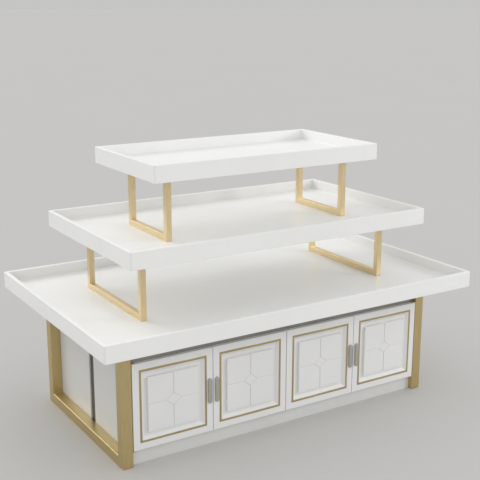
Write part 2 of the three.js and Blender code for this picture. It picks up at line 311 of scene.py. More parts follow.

# %% [markdown]
# ### Grey recess paint
# The rail under the tray and the strips in the ends are painted a flat warm grey, so that the white boxes
# seem to float. The strips take the same paint made darker, a painted shade that stands in for a deeper
# recess. The lacquer in grey would shine too much, so this finish is rougher, and in place of the peel it
# has the short, soft stipple of roller paint.

# %% Grey paint
PAINT_SHEEN = 0.3
PAINT_GLOSS = (0.5, 0.62)
PAINT_TINT_SCALE = 5
ROLLER_SCALE = 30
STIPPLE_SCALE = 900
STIPPLE_HEIGHT = 0.05 * MM


def grey_paint(name, dark, light):
    """Matt roller paint between two greys."""
    material, tree, shader = new_finish(name, Specular_IOR_Level=PAINT_SHEEN)
    colour_drift(tree, shader, noise(tree, PAINT_TINT_SCALE), dark, light)
    gloss_drift(tree, shader, noise(tree, ROLLER_SCALE), *PAINT_GLOSS)
    relief(tree, shader, noise(tree, STIPPLE_SCALE, detail=2), STIPPLE_HEIGHT)
    return material


RAIL_GREY = grey_paint("matt_grey_rail", linear(156, 155, 149), linear(166, 165, 159))
SHADED_STRIP_GREY = grey_paint("matt_grey_strip_shaded", linear(88, 86, 79), linear(97, 95, 88))
print(RAIL_GREY.name, SHADED_STRIP_GREY.name)

# %% [markdown]
# ### Brushed champagne gold
# The tube is steel with a brushed gold coating. Brushing leaves fine lines along each length of tube, so
# a post is brushed upright and a rail is brushed along its run. The shader's anisotropy could stretch the
# highlights alone, but stretching a noise along one axis draws the lines themselves. Two versions of the
# same recipe, turned to follow post and rail, meet at the mitred corners as on the real frame.

# %% Brushed gold
GOLD_METALLIC = 0.85
GOLD_GLOSS = (0.3, 0.44)
BRUSH_SCALE = 900
BRUSH_STRETCH = 0.02
BRUSH_DEPTH = 0.03 * MM


def brushed_gold(name, grain, dark, light):
    """Brushed gold between two colours, with lines that run along the axis `grain`."""
    material, tree, shader = new_finish(name, Metallic=GOLD_METALLIC)
    stretch = [1.0, 1.0, 1.0]
    stretch[grain] = BRUSH_STRETCH
    lines = noise(tree, BRUSH_SCALE, stretch, detail=4)
    colour_drift(tree, shader, lines, dark, light)
    gloss_drift(tree, shader, lines, *GOLD_GLOSS)
    relief(tree, shader, lines, BRUSH_DEPTH)
    return material


def rail_and_post_golds(name, dark, light):
    """The two golds of a frame: for its rails, then for its posts."""
    grains = (("rail", Y), ("post", Z))
    return [brushed_gold(f"{name}_gold_{part}", grain, dark, light) for part, grain in grains]


# Base and support frames share one coating. The supports' gold is painted paler, a painted reflection of
# the white trays round them, and the base's gold darker, a painted reflection of dark surroundings.
SHADED_BASE_GOLDS = rail_and_post_golds("base", linear(198, 177, 126), linear(212, 192, 142))
LIT_SUPPORT_GOLDS = rail_and_post_golds("support", linear(226, 204, 160), linear(238, 218, 177))
print([gold.name for gold in SHADED_BASE_GOLDS + LIT_SUPPORT_GOLDS])

# %% [markdown]
# ### Small metal
# The door beads are a thin satin gold strip, the pulls grey anodised metal, and the strikes and screws
# zinc-plated, with a faint cloudy spangle. One recipe makes them all: clouds that drift in colour and
# gloss together, as they do on plated and anodised metal, over a grain too fine to see singly.

# %% Metals
PLATED_METALLIC = 0.9
GRAIN_SCALE = 2500
GRAIN_HEIGHT = 0.01 * MM


def fine_metal(name, dark, light, gloss, cloud_scale):
    """Metal with a cloudy colour and a fine even grain."""
    material, tree, shader = new_finish(name, Metallic=PLATED_METALLIC)
    clouds = noise(tree, cloud_scale, detail=4)
    colour_drift(tree, shader, clouds, dark, light)
    gloss_drift(tree, shader, clouds, *gloss)
    relief(tree, shader, noise(tree, GRAIN_SCALE, detail=2), GRAIN_HEIGHT)
    return material


GOLD_BEAD = fine_metal(
    "satin_gold_bead", linear(186, 165, 120), linear(198, 178, 134), gloss=(0.32, 0.42), cloud_scale=160
)
PULL_GREY = fine_metal(
    "anodised_grey", linear(190, 188, 182), linear(200, 198, 192), gloss=(0.42, 0.52), cloud_scale=260
)
ZINC = fine_metal(
    "zinc_plate", linear(168, 170, 172), linear(196, 197, 198), gloss=(0.28, 0.45), cloud_scale=120
)
print(GOLD_BEAD.name, PULL_GREY.name, ZINC.name)

# %% [markdown]
# ### Moulded plastic
# The catches are moulded in grey plastic. The mould's spark-eroded wall leaves a fine even texture, and
# the melt a faint mottle, so the paint's three steps serve here too, with smaller patches.

# %% Plastic
PLASTIC_SHEEN = 0.4
PLASTIC_GLOSS = (0.45, 0.58)
MOTTLE_SCALE = 60
FLOW_SCALE = 200
MOULD_SCALE = 1800
MOULD_HEIGHT = 0.04 * MM


def moulded_plastic(name, dark, light):
    """Moulded plastic between two greys."""
    material, tree, shader = new_finish(name, Specular_IOR_Level=PLASTIC_SHEEN)
    colour_drift(tree, shader, noise(tree, MOTTLE_SCALE), dark, light)
    gloss_drift(tree, shader, noise(tree, FLOW_SCALE), *PLASTIC_GLOSS)
    relief(tree, shader, noise(tree, MOULD_SCALE, detail=2), MOULD_HEIGHT)
    return material


CATCH_GREY = moulded_plastic("moulded_grey", linear(148, 147, 143), linear(158, 157, 153))
print(CATCH_GREY.name)

# %% [markdown]
# ## Trays
# A tray is a floor board with four rim boards glued round it, filled, sanded and lacquered until no joint
# shows from above. It could be five boards, but the lacquer makes it one skin, so one block is inset and
# sunk instead. The upright corners are rounded, and the arrises are eased. Underneath, where nobody
# fills, the joint between floor and rim stays as a fine V.

# %% Trays
TRAY_CORNER = 8 * MM
TRAY_ARRIS = 2.2 * MM
SEAM = 0.8 * MM


def within(edge, low, high, margin):
    """Whether an edge, seen from above, lies inside a box by a margin."""
    middle = (edge.verts[0].co + edge.verts[1].co) / 2
    inside_x = low.x + margin < middle.x < high.x - margin
    return inside_x and low.y + margin < middle.y < high.y - margin


def make_tray(name):
    """One tray, in place of a floor board and four rim boards."""
    nodes = [f"{name}_{part}" for part in ("floor", "rim_front", "rim_back", "rim_left", "rim_right")]
    low, high = span(*nodes)
    floor_low, floor_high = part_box(f"{name}_floor")
    rim = floor_low.x - low.x
    bm = bmesh.new()
    add_block(bm, low, high)
    top = facing(bm, UP)[0]
    bmesh.ops.inset_region(bm, faces=[top], thickness=rim, use_even_offset=True)
    floor = bmesh.ops.extrude_discrete_faces(bm, faces=[top])["faces"][0]
    bmesh.ops.translate(bm, verts=floor.verts, vec=(0, 0, floor_high.z - high.z))
    under = facing(bm, DOWN)[0]
    for width, rise in ((rim - SEAM, 0), (SEAM, SEAM), (SEAM, -SEAM)):
        bmesh.ops.inset_region(bm, faces=[under], thickness=width, use_even_offset=True)
        bmesh.ops.translate(bm, verts=under.verts, vec=(0, 0, rise))
    outer_x = high.x - rim / 2
    corners = [edge for edge in bm.edges if runs_along(edge, Z) and abs(edge.verts[0].co.x) > outer_x]
    round_edges(bm, corners, TRAY_CORNER, segments=8)
    seam_top = low.z + 2 * SEAM
    arrises = [edge for edge in sharp_edges(bm) if max(vert.co.z for vert in edge.verts) > seam_top]
    below = [edge for edge in sharp_edges(bm) if edge not in arrises]
    outline = [edge for edge in below if not within(edge, low, high, rim / 2)]
    round_edges(bm, arrises + outline, TRAY_ARRIS, segments=3)
    make_piece(name, bm, [TRAY_WHITE], "table", "white_lacquer", *nodes)


for tray_name in ("lower_tray", "middle_tray", "upper_tray"):
    make_tray(tray_name)

# %% [markdown]
# ## Ring frames
# Each frame is four lengths of square tube, mitred, welded and ground flush into a ring. Four mitred bars
# could be joined, but insetting the two wide faces of a block by the width of the tube draws them all at
# once, and bridging the two openings makes the inside of the ring. Faces nearer a post than a rail take
# the upright brushing.

# %% Ring frames
TUBE_CORNER_SHARE = 0.06


def open_through(bm, ends):
    """Makes an opening through a piece, from one of two faces to the other."""
    edges = [edge for end in ends for edge in end.edges]
    bmesh.ops.delete(bm, geom=ends, context="FACES_ONLY")
    bmesh.ops.bridge_loops(bm, edges=edges)
    bmesh.ops.recalc_face_normals(bm, faces=bm.faces)


def add_ring(bm, low, high, sides, width):
    """Adds a block with an opening between its faces on two sides, inset by a width."""
    add_block(bm, low, high)
    ends = [face for side in sides for face in facing(bm, side)]
    for end in ends:
        bmesh.ops.inset_region(bm, faces=[end], thickness=width, use_even_offset=True)
    open_through(bm, ends)


def make_ring(name):
    """One welded frame, brushed along its rails and posts."""
    low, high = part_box(name)
    tube = high.x - low.x
    centre = (low + high) / 2
    reach = (high - low) / 2
    bm = bmesh.new()
    add_ring(bm, low, high, (RIGHT, LEFT), tube)
    ease(bm, TUBE_CORNER_SHARE * tube)
    for face in bm.faces:
        offset = face.calc_center_median() - centre
        to_post = reach.y - abs(offset.y)
        to_rail = reach.z - abs(offset.z)
        face.material_index = 1 if to_post < to_rail else 0
    golds = SHADED_BASE_GOLDS if name.startswith("base") else LIT_SUPPORT_GOLDS
    make_piece(f"{name}_ring", bm, golds, "table", "gold_frame", name)


for tier in ("base", "middle", "upper"):
    for end in ("left", "right"):
        make_ring(f"{tier}_frame_{end}")

# %% [markdown]
# ## Cabinet boards
# The cabinet is a box of 18 mm boards between the two base frames, with a grey rail under the tray and a
# grey strip in each end. The whole carcass could be one mesh, but separate boards show their joints: each
# is a block with eased edges, which catch the light where two boards meet and tell them apart.

# %% Plain boards
BOARD_ARRIS = 1.2 * MM


def make_board(node, finish, slot):
    """One plain board with eased edges."""
    bm = bmesh.new()
    add_block(bm, *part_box(node))
    ease(bm, BOARD_ARRIS)
    make_piece(f"{node}_board", bm, [finish], "table", slot, node)


for node in ("cabinet_top", "centre_partition", "plinth_front", "plinth_back"):
    make_board(node, SHADED_CABINET_WHITE, "cabinet_board")
for end in ("left", "right"):
    for node in (f"end_panel_{end}_front", f"end_panel_{end}_back", f"back_panel_{end}"):
        make_board(node, SHADED_CABINET_WHITE, "cabinet_board")
    make_board(f"end_strip_{end}", SHADED_STRIP_GREY, "grey_board")
make_board("frieze_back", RAIL_GREY, "grey_board")

# %% [markdown]
# Two boards are notched for the plates that carry the middle doors. The rail above the doors has a slot
# right through it. A Boolean modifier could cut the slot, but its result is harder to keep clean, so
# lines are cut across the block instead. They leave a small face at each mouth of the slot, and the slot
# is opened from one to the other, as the rings were.

# %% Front rail
NOTCH_PLAY = 0.25 * MM
PIVOT_PLATE = 3 * MM


def cut_lines(bm, lines):
    """Draws cutting lines round a block, each on a plane through a point with a normal."""
    for point, normal in lines:
        everything = bm.verts[:] + bm.edges[:] + bm.faces[:]
        bmesh.ops.bisect_plane(bm, geom=everything, plane_co=point, plane_no=normal)


def inside(point, low, high):
    """Whether a point lies in a box."""
    return all(low[axis] <= point[axis] <= high[axis] for axis in (X, Y, Z))


def centred_in(faces, low, high):
    """The faces whose centres lie in a box."""
    return [face for face in faces if inside(face.calc_center_median(), low, high)]


def make_front_rail():
    """The rail above the doors, with a slot for the middle pivot plate."""
    node = "frieze_front"
    low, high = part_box(node)
    plate_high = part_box("pivot_middle_top")[1]
    half = plate_high.x + NOTCH_PLAY
    slot_top = plate_high.z + NOTCH_PLAY
    slot_bottom = plate_high.z - PIVOT_PLATE - NOTCH_PLAY
    bm = bmesh.new()
    add_block(bm, low, high)
    ease(bm, BOARD_ARRIS)
    cut_lines(bm, [((x, 0, 0), RIGHT) for x in (-half, half)])
    cut_lines(bm, [((0, 0, z), UP) for z in (slot_bottom, slot_top)])
    slot_low = Vector((-half, low.y, slot_bottom))
    slot_high = Vector((half, high.y, slot_top))
    mouths = centred_in(facing(bm, FRONT) + facing(bm, BACK), slot_low, slot_high)
    open_through(bm, mouths)
    make_piece(f"{node}_board", bm, [RAIL_GREY], "table", "grey_board", node)


make_front_rail()

# %% [markdown]
# The deck's notch is open at the front and below, so it has no second mouth to be opened to. Pushing its
# underside up leaves two faces back to back on the board's front. Both are deleted, and merging the
# doubled corners closes the board again.

# %% Deck
MERGE_REACH = 0.01 * MM


def make_deck():
    """The cabinet's floor, notched under its front for the other middle pivot plate."""
    node = "bottom_deck"
    low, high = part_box(node)
    plate_low, plate_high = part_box("pivot_middle_bottom")
    half = plate_high.x + NOTCH_PLAY
    notch_back = plate_high.y + NOTCH_PLAY
    notch_top = plate_low.z + PIVOT_PLATE + NOTCH_PLAY
    bm = bmesh.new()
    add_block(bm, low, high)
    cut_lines(bm, [((x, 0, 0), RIGHT) for x in (-half, half)])
    cut_lines(bm, [((0, notch_back, 0), BACK), ((0, 0, notch_top), UP)])
    reach = Vector((MERGE_REACH, MERGE_REACH, MERGE_REACH))
    notch_low = Vector((-half, low.y, low.z)) - reach
    notch_high = Vector((half, notch_back, notch_top)) + reach
    under = centred_in(facing(bm, DOWN), notch_low, notch_high)
    ceiling = bmesh.ops.extrude_discrete_faces(bm, faces=under)["faces"][0]
    bmesh.ops.translate(bm, verts=ceiling.verts, vec=(0, 0, notch_top - low.z))
    front_high = Vector((half, low.y, notch_top)) + reach
    doubled = []
    for face in bm.faces:
        if all(inside(vert.co, notch_low, front_high) for vert in face.verts):
            doubled.append(face)
    bmesh.ops.delete(bm, geom=doubled, context="FACES")
    bmesh.ops.remove_doubles(bm, verts=bm.verts, dist=MERGE_REACH)
    bmesh.ops.recalc_face_normals(bm, faces=bm.faces)
    outer = []
    for edge in sharp_edges(bm):
        if not any(inside(vert.co, notch_low, notch_high) for vert in edge.verts):
            outer.append(edge)
    round_edges(bm, outer, BOARD_ARRIS, segments=3)
    make_piece(f"{node}_board", bm, [SHADED_CABINET_WHITE], "table", "cabinet_board", node)


make_deck()

# %% [markdown]
# ## Outlines
# Strikes, screws and pins are let into the doors, pins stand up from their plates, and a pull is a bar
# with round ends. All of these start as an outline: a circle, a circle whose halves are moved apart, or a
# rectangle. It could be typed in point by point, but operators draw it, flat or turned to stand. A grid
# comes with a face, which is taken off so that only the edges stay.

# %% Outlines
FLAT = Matrix.Identity(4)
STANDING = Matrix.Rotation(math.pi / 2, 4, "X")


def loop_edges(bm, verts):
    """The edges between some vertices, without the face that they may carry."""
    edges = list({edge for vert in verts for edge in vert.link_edges})
    faces = list({face for edge in edges for face in edge.link_faces})
    bmesh.ops.delete(bm, geom=faces, context="FACES_ONLY")
    return edges


def ring_outline(bm, centre, radius, turn, segments=24):
    """A circle, turned from the XY plane by a rotation."""
    place = Matrix.Translation(centre) @ turn
    circle = bmesh.ops.create_circle(bm, radius=radius, segments=segments, matrix=place)
    return loop_edges(bm, circle["verts"])


def pill_outline(bm, centre, radius, straight, segments=32):
    """An upright outline with round ends: a circle whose halves are moved apart."""
    half_step = Matrix.Rotation(math.pi / segments, 4, "Z")
    edges = ring_outline(bm, centre, radius, STANDING @ half_step, segments)
    for vert in {vert for edge in edges for vert in edge.verts}:
        vert.co.z += math.copysign(straight, vert.co.z - centre.z)
    return edges


def box_outline(bm, centre, half_x, half_y, turn):
    """A rectangle, turned from the XY plane by a rotation."""
    place = Matrix.Translation(centre) @ turn @ Matrix.Diagonal((half_x, half_y, 1, 1))
    grid = bmesh.ops.create_grid(bm, x_segments=1, y_segments=1, size=1, matrix=place)
    return loop_edges(bm, grid["verts"])


print("outline helpers ready")

# %% [markdown]
# ## Pockets and bosses
# A Boolean modifier could cut a pocket, but its floor would be hard to find again, and screws and magnets
# need it. So a pocket is made as a router makes it: draw its outline on a flat face, fill the face again
# round the outline, then push the outline in and close it with a floor. Pushed the other way, the same
# steps raise a pin from a plate, so one helper serves both.


# %% Pockets
def face_under(bm, point, direction):
    """The face that looks along a direction and holds a point."""
    for face in facing(bm, direction):
        level = abs((face.verts[0].co - point).dot(face.normal)) < SAME_LEVEL
        if level and bmesh.geometry.intersect_face_point(face, point):
            return face


def draw_out(bm, outline, push):
    """Draws walls from an outline along a push, and closes their far end with a face."""
    wall = bmesh.ops.extrude_edge_only(bm, edges=outline)["geom"]
    rim = [part for part in wall if isinstance(part, bmesh.types.BMVert)]
    bmesh.ops.translate(bm, verts=rim, vec=push)
    return bmesh.ops.contextual_create(bm, geom=rim)["faces"]


def push_outlines(bm, face, push, *outlines):
    """Fills a face again round some outlines, pushes each in or out, and returns their flat ends."""
    drawn = [edge for outline in outlines for edge in outline]
    border = face.edges[:]
    bmesh.ops.delete(bm, geom=[face], context="FACES_ONLY")
    bmesh.ops.triangle_fill(bm, edges=border + drawn, use_beauty=True)
    ends = [end for outline in outlines for end in draw_out(bm, outline, push)]
    bmesh.ops.recalc_face_normals(bm, faces=bm.faces)
    return ends


print("pocket helpers ready")

# %% [markdown]
# Pulls, catches and strikes are held by slotted screws. A screw could be a piece of its own, but only its
# head shows, so the head is a shallow round pocket with a slot across it, sunk in the piece that it
# holds. Its faces may take the second finish of that piece.

# %% Screws
SCREW_RADIUS = 2.4 * MM
SCREW_SINK = 0.25 * MM
SLOT_HALF_LENGTH = 1.9 * MM
SLOT_HALF_WIDTH = 0.35 * MM
SLOT_DEPTH = 0.5 * MM


def sink_screws(bm, middles, outward, turn, finish=0):
    """Slotted screw heads that lie a little below a face."""
    inward = -Vector(outward)
    heads = [ring_outline(bm, middle, SCREW_RADIUS, turn) for middle in middles]
    discs = push_outlines(bm, face_under(bm, middles[0], outward), inward * SCREW_SINK, *heads)
    for disc, middle in zip(discs, middles):
        slot = box_outline(bm, middle + inward * SCREW_SINK, SLOT_HALF_LENGTH, SLOT_HALF_WIDTH, turn)
        push_outlines(bm, disc, inward * SLOT_DEPTH, slot)
    for face in bm.faces:
        centre = face.calc_center_median()
        if min((centre - middle).length for middle in middles) < SCREW_RADIUS:
            face.material_index = finish


print("screws ready")

# %% [markdown]
# ## Doors
# Each door is one fibreboard slab, milled on its front: a plain border, a groove that holds the gold
# bead, a narrow ledge, a slope that sinks to a flat channel, and a field that stands up again to the
# height of the border. A profile could be swept round the door, but a chain of insets, each followed by a
# move towards the back, needs none, and steps in from the edge just as a router does.

# %% Milling
BEAD_WIDTH = 9 * MM
BEAD_DEPTH = 4 * MM
LET_IN_PLAY = 0.25 * MM
CHANNEL_LEDGE = 1.5 * MM
CHANNEL_SLOPE = 12 * MM
CHANNEL_FLOOR = 15.5 * MM
CHANNEL_DEPTH = 10 * MM


def mill(bm, face, width, sink):
    """Steps in from a face's edge by a width, or straight down if it is zero, then moves the rest back."""
    if width:
        bmesh.ops.inset_region(bm, faces=[face], thickness=width, use_even_offset=True)
    else:
        face = bmesh.ops.extrude_discrete_faces(bm, faces=[face])["faces"][0]
    bmesh.ops.translate(bm, verts=face.verts, vec=(0, sink, 0))
    return face


def mill_front(bm, bead_margin):
    """Mills the bead's groove and the channel into a slab's front, and returns the field inside them."""
    groove_depth = BEAD_DEPTH + LET_IN_PLAY
    bead_groove = (
        (bead_margin - LET_IN_PLAY, 0),
        (0, groove_depth),
        (BEAD_WIDTH + 2 * LET_IN_PLAY, 0),
        (0, -groove_depth),
    )
    channel = (
        (CHANNEL_LEDGE - LET_IN_PLAY, 0),
        (CHANNEL_SLOPE, CHANNEL_DEPTH),
        (CHANNEL_FLOOR, 0),
        (0, -CHANNEL_DEPTH),
    )
    face = facing(bm, FRONT)[0]
    for width, sink in bead_groove + channel:
        face = mill(bm, face, width, sink)
    return face


print("milling helpers ready")

# %% [markdown]
# A V cutter has run from the middle of each side of the field to a diamond at its centre. A Boolean with
# wedges could cut the grooves, but where they meet it leaves slivers. So their lines are drawn first, by
# cutting the field into quarters and a corner off each quarter.

# %% Groove lines
DIAMOND_X = 33 * MM
DIAMOND_Z = 26 * MM


def split(bm, faces, point, normal):
    """Cuts faces along a plane, and returns the pieces."""
    geometry = {part for face in faces for part in (face, *face.edges, *face.verts)}
    cut = bmesh.ops.bisect_plane(bm, geom=list(geometry), plane_co=point, plane_no=normal)
    return [part for part in cut["geom"] if isinstance(part, bmesh.types.BMFace)]


def groove_lines(bm, field, centre):
    """Draws the diamond and the four lines that lead to it, and returns their edges."""
    quarters = split(bm, [field], centre, RIGHT)
    quarters = split(bm, quarters, centre, UP)
    tips = []
    for quarter in quarters:
        towards = quarter.calc_center_bounds() - centre
        side_x = math.copysign(1, towards.x)
        side_z = math.copysign(1, towards.z)
        corner = centre + Vector((side_x * DIAMOND_X, 0, 0))
        pieces = split(bm, [quarter], corner, (side_x / DIAMOND_X, 0, side_z / DIAMOND_Z))
        tips.append(min(pieces, key=lambda face: face.calc_area()))
    diamond = bmesh.ops.dissolve_faces(bm, faces=tips, use_verts=True)["region"][0]
    sides = set(diamond.edges)
    lines = []
    for edge in {edge for vert in diamond.verts for edge in vert.link_edges}:
        middle = (edge.verts[0].co + edge.verts[1].co) / 2 - centre
        if edge in sides or min(abs(middle.x), abs(middle.z)) < SAME_LEVEL:
            lines.append(edge)
    return lines


print("diamond", DIAMOND_X * 2, "by", DIAMOND_Z * 2, "m")

# %% [markdown]
# A bevel then makes a strip as wide as the cutter along every line. Each of its points is sunk by how
# near it lies to a line, which shapes the V even where two grooves meet.

# %% Crossed grooves
GROOVE_WIDTH = 6 * MM
GROOVE_DEPTH = 3 * MM


def groove_distance(offset):
    """How far a point of the field, measured from its centre, lies from the nearest groove line."""
    x, z = abs(offset.x), abs(offset.z)
    beyond = x / DIAMOND_X + z / DIAMOND_Z - 1
    to_diamond = abs(beyond) / math.hypot(1 / DIAMOND_X, 1 / DIAMOND_Z)
    return min(to_diamond, x, z) if beyond > 0 else to_diamond


def cross_grooves(bm, field):
    """V grooves from the middle of the field's edges to a diamond at its centre."""
    centre = field.calc_center_bounds()
    lines = groove_lines(bm, field, centre)
    made = round_edges(bm, lines, GROOVE_WIDTH / 2, segments=2)
    for vert in made["verts"]:
        sink = 1 - groove_distance(vert.co - centre) / (GROOVE_WIDTH / 2)
        if sink > 0:
            vert.co.y += GROOVE_DEPTH * sink
    print(len(lines), "groove lines")


print("V grooves", GROOVE_WIDTH, "m wide")

# %% [markdown]
# The outside of a slab is eased by hand. The front edge beside the hinge gets a larger round than the
# others, because it swings past its neighbour as the door opens. Easing every sharp edge would blunt the
# milling too, so only the edges of the outline are picked.

# %% Door edges
DOOR_EASING = 2 * MM
DOOR_ARRIS = 0.8 * MM
OUTLINE_TURN = 60


def round_outside(bm, low, high, hinge_x):
    """Rounds the front edge beside the hinge, and eases the rest of the slab's outline."""
    hinge_side, free_side = sorted((low.x, high.x), key=lambda x: abs(x - hinge_x))
    turning = [edge for edge in bm.edges if lies_at(edge, X, hinge_side) and lies_at(edge, Y, low.y)]
    round_edges(bm, turning, DOOR_EASING, segments=4)
    outline = []
    for edge in sharp_edges(bm, sharper_than=OUTLINE_TURN):
        at_end = lies_at(edge, Z, low.z) or lies_at(edge, Z, high.z)
        at_front = lies_at(edge, X, free_side) and lies_at(edge, Y, low.y)
        if at_end or at_front or lies_at(edge, Y, high.y):
            outline.append(edge)
    round_edges(bm, outline, DOOR_ARRIS, segments=2)


print("door edges rounded by", DOOR_EASING, "and", DOOR_ARRIS, "m")

# %% [markdown]
# In the back of a slab are a shallow recess for the strike and two counterbores for the screws that hold
# the pull, and in each end is a hole for a pin. The holes stand on the joint's axis. It could be worked
# out from the door's corner, but the record gives it, so door and pin can't drift apart.

# %% Door pockets
COUNTERBORE = 3.4 * MM
PULL_SCREW_SPREAD = 48 * MM
PIN_RADIUS = 2.5 * MM
PIN_HOLE = 10.5 * MM
HINGE_PINS = {joint["child"]: Vector(joint["pos_m"]) for joint in frame["record"]["behaviour"]["joints"]}


def let_in(bm, name):
    """The strike's recess and the pull's sunk screws in the back, and a hole for a pin in each end."""
    low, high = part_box(f"{name}_slab")
    strike_low, strike_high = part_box(f"{name}_strike")
    half = (strike_high - strike_low) / 2
    strike = (strike_low + strike_high) / 2
    strike.y = high.y
    pull = sum(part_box(f"{name}_pull"), Vector()) / 2
    screws = [Vector((pull.x, high.y, pull.z + side * PULL_SCREW_SPREAD)) for side in (-1, 1)]
    outlines = [box_outline(bm, strike, half.x + LET_IN_PLAY, half.z + LET_IN_PLAY, STANDING)]
    outlines += [ring_outline(bm, screw, COUNTERBORE, STANDING) for screw in screws]
    sink = Vector((0, strike_low.y - high.y, 0))
    push_outlines(bm, face_under(bm, strike, BACK), sink, *outlines)
    for screw in screws:
        sink_screws(bm, [screw + sink], BACK, STANDING, finish=1)
    for end_z, inwards in ((low.z, 1), (high.z, -1)):
        middle = HINGE_PINS[name].copy()
        middle.z = end_z
        hole = ring_outline(bm, middle, PIN_RADIUS + LET_IN_PLAY, FLAT)
        push_outlines(bm, face_under(bm, middle, (0, 0, -inwards)), (0, 0, inwards * PIN_HOLE), hole)


print("pins at", [tuple(round(v, 4) for v in pin) for pin in HINGE_PINS.values()])

# %% [markdown]
# Now the doors themselves. The milling is run on a plain block, the grooves follow on the field that is
# left, then the outside is eased, and last come the pockets. A slab's V grooves are shallow, so it keeps
# a crease at a smaller angle than other pieces do.

# %% Door slabs
MILLED_CREASE = 14


def make_slab(name):
    """One milled door slab, with the heads of the pull's screws in its back."""
    node = f"{name}_slab"
    low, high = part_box(node)
    bead_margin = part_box(f"{name}_bead")[0].x - low.x
    bm = bmesh.new()
    add_block(bm, low, high)
    field = mill_front(bm, bead_margin)
    cross_grooves(bm, field)
    round_outside(bm, low, high, HINGE_PINS[name].x)
    let_in(bm, name)
    finishes = [DOOR_WHITE, ZINC]
    make_piece(f"{node}_milled", bm, finishes, name, "door_lacquer", node, crease=MILLED_CREASE)


for door in HINGE_PINS:
    make_slab(door)

# %% [markdown]
# ## Beads
# The bead is a slim metal strip bent into a rectangle and pressed into its groove, with a rounded front.
# A curve with a bevel profile could follow the groove, but its corners would pinch. So it is made like
# the frames, by insetting and bridging, and its front edges are rounded until they nearly meet.

# %% Beads
BEAD_ROUND = 2.6 * MM


def make_bead(name):
    """The bead round one door's panel."""
    node = f"{name}_bead"
    low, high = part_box(node)
    bm = bmesh.new()
    add_ring(bm, low, high, (BACK, FRONT), BEAD_WIDTH)
    front = [edge for edge in sharp_edges(bm) if lies_at(edge, Y, low.y)]
    round_edges(bm, front, BEAD_ROUND, segments=4)
    make_piece(f"{node}_strip", bm, [GOLD_BEAD], name, "gold_bead", node)


for door in HINGE_PINS:
    make_bead(door)

# %% [markdown]
# ## Pulls
# Each pull is a short upright bar with round ends that stands on the border beside the door's free edge,
# cut from flat bar and rounded on its front by a cutter. It could be a box with its corners bevelled
# until they meet, but a circle is quicker: its upper half moves up and its lower half down, and the
# outline is drawn back to the door.

# %% Pulls
PULL_ROUND = 2.5 * MM


def make_pull(name):
    """The pull on one door."""
    node = f"{name}_pull"
    low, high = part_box(node)
    radius = (high.x - low.x) / 2
    straight = (high.z - low.z) / 2 - radius
    front = (low + high) / 2
    front.y = low.y
    bm = bmesh.new()
    outline = pill_outline(bm, front, radius, straight)
    bmesh.ops.contextual_create(bm, geom=outline)
    draw_out(bm, outline, (0, high.y - low.y, 0))
    bmesh.ops.recalc_face_normals(bm, faces=bm.faces)
    front_edges = [edge for edge in bm.edges if lies_at(edge, Y, low.y)]
    round_edges(bm, front_edges, PULL_ROUND, segments=4)
    make_piece(f"{node}_bar", bm, [PULL_GREY], name, "pull_metal", node)


for door in HINGE_PINS:
    make_pull(door)

# %% [markdown]
# ## Pivots
# The doors have no ordinary hinges: pins on small steel plates stand into holes in the ends of each slab.
# The outer plates are lugs, welded to the posts and coated gold with them, and the middle ones,
# powder-coated light grey, carry a pin for each of the inner doors. A pin could be a cylinder sunk into
# its plate, but raising it from the plate's own face leaves one closed skin. Every pin stands on a
# joint's axis, as its hole does, and a chamfer lets it find that hole.

# %% Pivots
PIVOT_ARRIS = 0.4 * MM
PIN_CHAMFER = 0.6 * MM


def make_pivot(node, pin_side, finish, slot):
    """A plate whose pins point up (1) or down (-1)."""
    low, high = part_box(node)
    plate_low, plate_high = low.copy(), high.copy()
    if pin_side > 0:
        plate_high.z = low.z + PIVOT_PLATE
    else:
        plate_low.z = high.z - PIVOT_PLATE
    pin_z = plate_high.z if pin_side > 0 else plate_low.z
    pins = [Vector((axis.x, axis.y, pin_z)) for axis in HINGE_PINS.values() if low.x < axis.x < high.x]
    bm = bmesh.new()
    add_block(bm, plate_low, plate_high)
    ease(bm, PIVOT_ARRIS, segments=2)
    outlines = [ring_outline(bm, pin, PIN_RADIUS, FLAT) for pin in pins]
    reach = pin_side * (high.z - low.z - PIVOT_PLATE)
    tips = push_outlines(bm, face_under(bm, pins[0], (0, 0, pin_side)), (0, 0, reach), *outlines)
    round_edges(bm, [edge for tip in tips for edge in tip.edges], PIN_CHAMFER, segments=1)
    make_piece(f"{node}_plate", bm, [finish], "table", slot, node)


for place, pin_side in (("bottom", 1), ("top", -1)):
    for end in ("left", "right"):
        make_pivot(f"pivot_{end}_{place}", pin_side, SHADED_BASE_GOLDS[0], "gold_frame")
    make_pivot(f"pivot_middle_{place}", pin_side, PLATE_COAT, "plate_coat")

# %% [markdown]
# ## Catches and strikes
# Behind each pair of doors that meet, a double magnetic catch is screwed under the rail, and a small
# steel strike in the back of each door meets one of its magnets. The strike is a stamped plate with
# rounded corners. One bevel over the whole block would round all its edges alike, so the four short edges
# are rounded first and the long ones barely eased, as a stamping is.

# %% Strikes
STRIKE_CORNER = 2 * MM
STRIKE_ARRIS = 0.2 * MM


def make_strike(name):
    """The strike in one door's back, with its screw."""
    node = f"{name}_strike"
    low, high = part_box(node)
    bm = bmesh.new()
    add_block(bm, low, high)
    corners = [edge for edge in bm.edges if runs_along(edge, Y)]
    round_edges(bm, corners, STRIKE_CORNER, segments=4)
    ease(bm, STRIKE_ARRIS, segments=1)
    middle = (low + high) / 2
    middle.y = high.y
    sink_screws(bm, [middle], BACK, STANDING)
    make_piece(f"{node}_plate", bm, [ZINC], name, "pivot_steel", node)


for door in HINGE_PINS:
    make_strike(door)

# %% [markdown]
# The catch is a moulded block with two magnets let into its front, each opposite a strike. The magnets
# could be blocks of their own. As pockets whose floors take the zinc finish, they leave the catch one
# closed mesh. Two screws go up through it into the rail.

